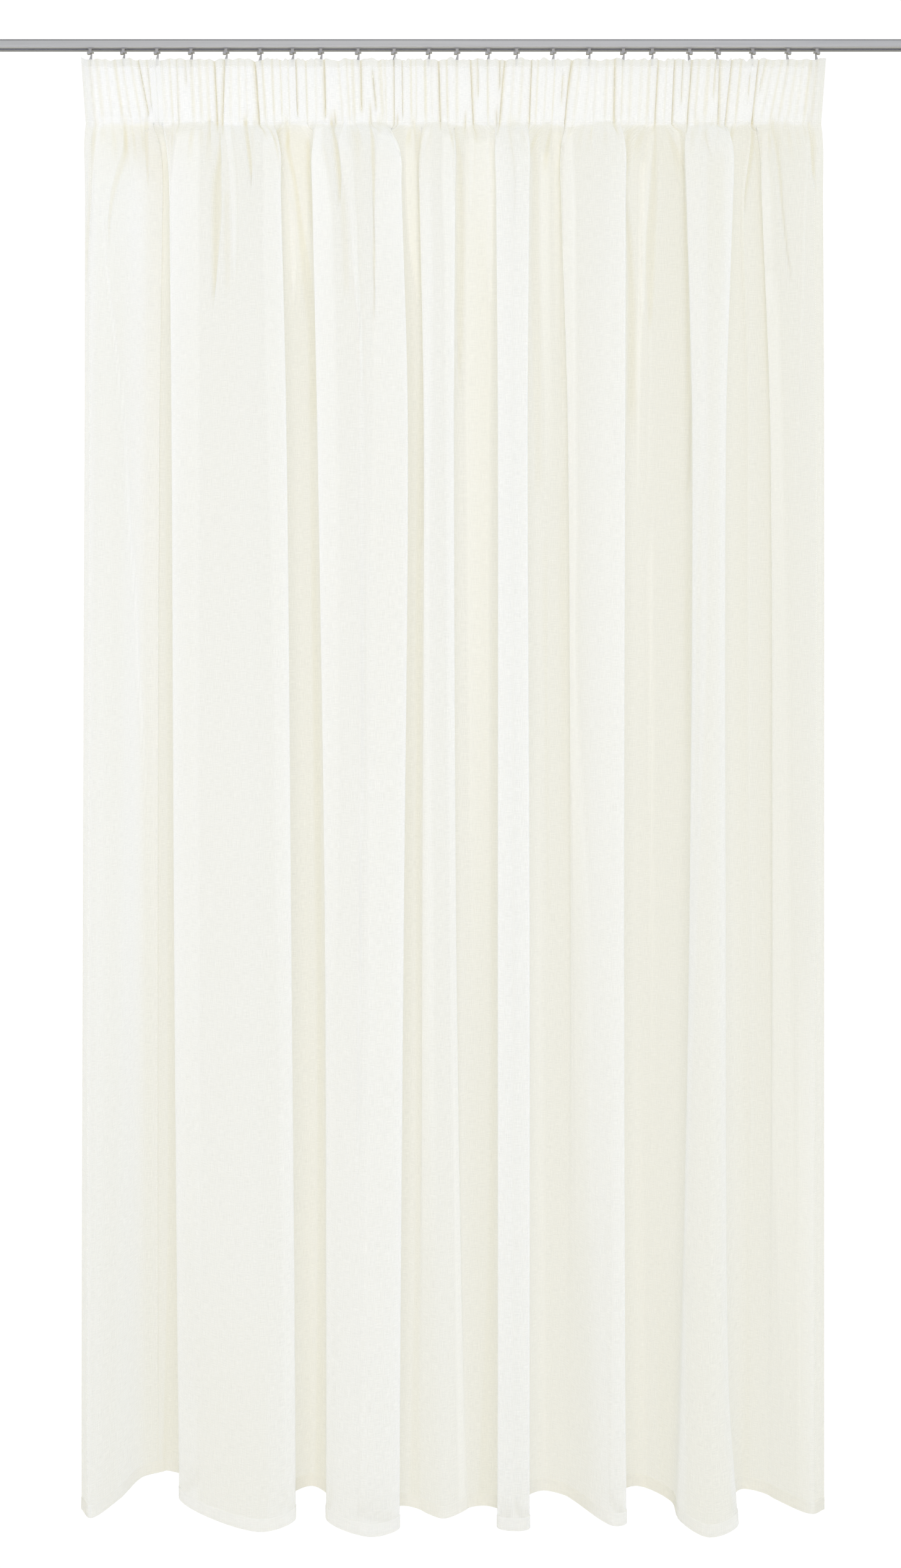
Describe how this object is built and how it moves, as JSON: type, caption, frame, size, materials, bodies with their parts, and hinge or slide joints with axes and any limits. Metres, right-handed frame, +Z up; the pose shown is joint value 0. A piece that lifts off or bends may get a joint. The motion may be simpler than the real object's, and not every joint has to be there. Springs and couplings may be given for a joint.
{
  "type": "sheer curtain on a ceiling rail",
  "caption": "Floor-length sheer curtain with a pencil-pleat heading tape, hung in loose, uneven folds by hooks and gliders from a slim ceiling rail.",
  "frame": {"origin": "middle of the rail's flat top face, where it meets the ceiling", "axes": "+Z up, +X along the rail to the right as seen from the room, -Y out into the room, so the curtain's front faces -Y"},
  "size_m": [1.6066, 0.199, 2.479],
  "materials": {
    "cloth": "sheer off-white linen-look weave with fine uneven slubs",
    "tape": "white woven heading tape, drawn up into pencil pleats",
    "aluminium": "satin",
    "plastic": "satin moulded plastic"
  },
  "bodies": {
    "root": {"curtain_cloth": "cloth", "header_tape": "tape", "rail": "aluminium", "end_cap_left": "aluminium", "end_cap_right": "aluminium", "glider_01": "plastic", "glider_02": "plastic", "glider_03": "plastic", "glider_04": "plastic", "glider_05": "plastic", "glider_06": "plastic", "glider_07": "plastic", "glider_08": "plastic", "glider_09": "plastic", "glider_10": "plastic", "glider_11": "plastic", "glider_12": "plastic", "glider_13": "plastic", "glider_14": "plastic", "glider_15": "plastic", "glider_16": "plastic", "glider_17": "plastic", "glider_18": "plastic", "glider_19": "plastic", "glider_20": "plastic", "glider_21": "plastic", "glider_22": "plastic", "glider_23": "plastic", "hook_01": "plastic", "hook_02": "plastic", "hook_03": "plastic", "hook_04": "plastic", "hook_05": "plastic", "hook_06": "plastic", "hook_07": "plastic", "hook_08": "plastic", "hook_09": "plastic", "hook_10": "plastic", "hook_11": "plastic", "hook_12": "plastic", "hook_13": "plastic", "hook_14": "plastic", "hook_15": "plastic", "hook_16": "plastic", "hook_17": "plastic", "hook_18": "plastic", "hook_19": "plastic", "hook_20": "plastic", "hook_21": "plastic", "hook_22": "plastic", "hook_23": "plastic"}
  },
  "joints": []
}
